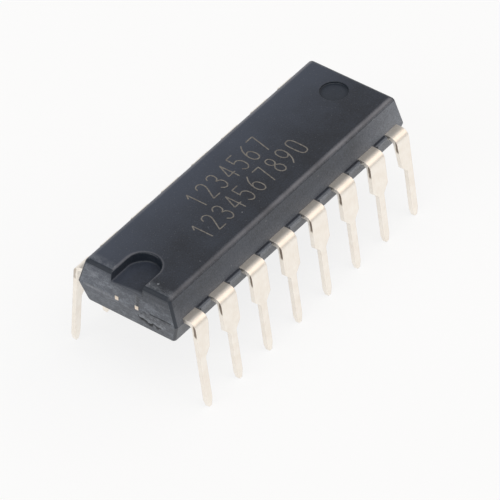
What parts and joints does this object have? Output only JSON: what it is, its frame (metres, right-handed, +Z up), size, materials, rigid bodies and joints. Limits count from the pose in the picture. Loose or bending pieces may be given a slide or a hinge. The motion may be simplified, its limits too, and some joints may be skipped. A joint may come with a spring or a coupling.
{
  "type": "dual in-line integrated circuit",
  "caption": "Dual in-line package: black moulded body with an index notch, formed flat leads in two rows, chip and bond wires inside.",
  "frame": {"origin": "on the ground plane that the ends of the leads stand on, below the centre of the body", "axes": "+X along the body from the end with the notch to the other end, +Y across it from the row of leads 1 to 8 to the row of leads 9 to 16, +Z up"},
  "size_m": [0.0194, 0.009, 0.0069],
  "materials": {
    "moulding_compound": "fine matte transfer-moulded epoxy, rougher on the end with the gate scar",
    "plated_lead": "satin plated, stamped and formed copper alloy",
    "bare_copper": "rolled copper alloy",
    "silver_adhesive": "cured silver-filled epoxy",
    "silicon": "polished silicon with a thin glass layer",
    "gold_wire": "drawn gold"
  },
  "bodies": {
    "root": {"moulded_body": "moulding_compound", "die_paddle": "bare_copper", "die_attach": "silver_adhesive", "silicon_die": "silicon", "lead_1": "plated_lead", "lead_2": "plated_lead", "lead_3": "plated_lead", "lead_4": "plated_lead", "lead_5": "plated_lead", "lead_6": "plated_lead", "lead_7": "plated_lead", "lead_8": "plated_lead", "lead_9": "plated_lead", "lead_10": "plated_lead", "lead_11": "plated_lead", "lead_12": "plated_lead", "lead_13": "plated_lead", "lead_14": "plated_lead", "lead_15": "plated_lead", "lead_16": "plated_lead", "bond_wire_1": "gold_wire", "bond_wire_2": "gold_wire", "bond_wire_3": "gold_wire", "bond_wire_4": "gold_wire", "bond_wire_5": "gold_wire", "bond_wire_6": "gold_wire", "bond_wire_7": "gold_wire", "bond_wire_8": "gold_wire", "bond_wire_9": "gold_wire", "bond_wire_10": "gold_wire", "bond_wire_11": "gold_wire", "bond_wire_12": "gold_wire", "bond_wire_13": "gold_wire", "bond_wire_14": "gold_wire", "bond_wire_15": "gold_wire", "bond_wire_16": "gold_wire"}
  },
  "joints": []
}
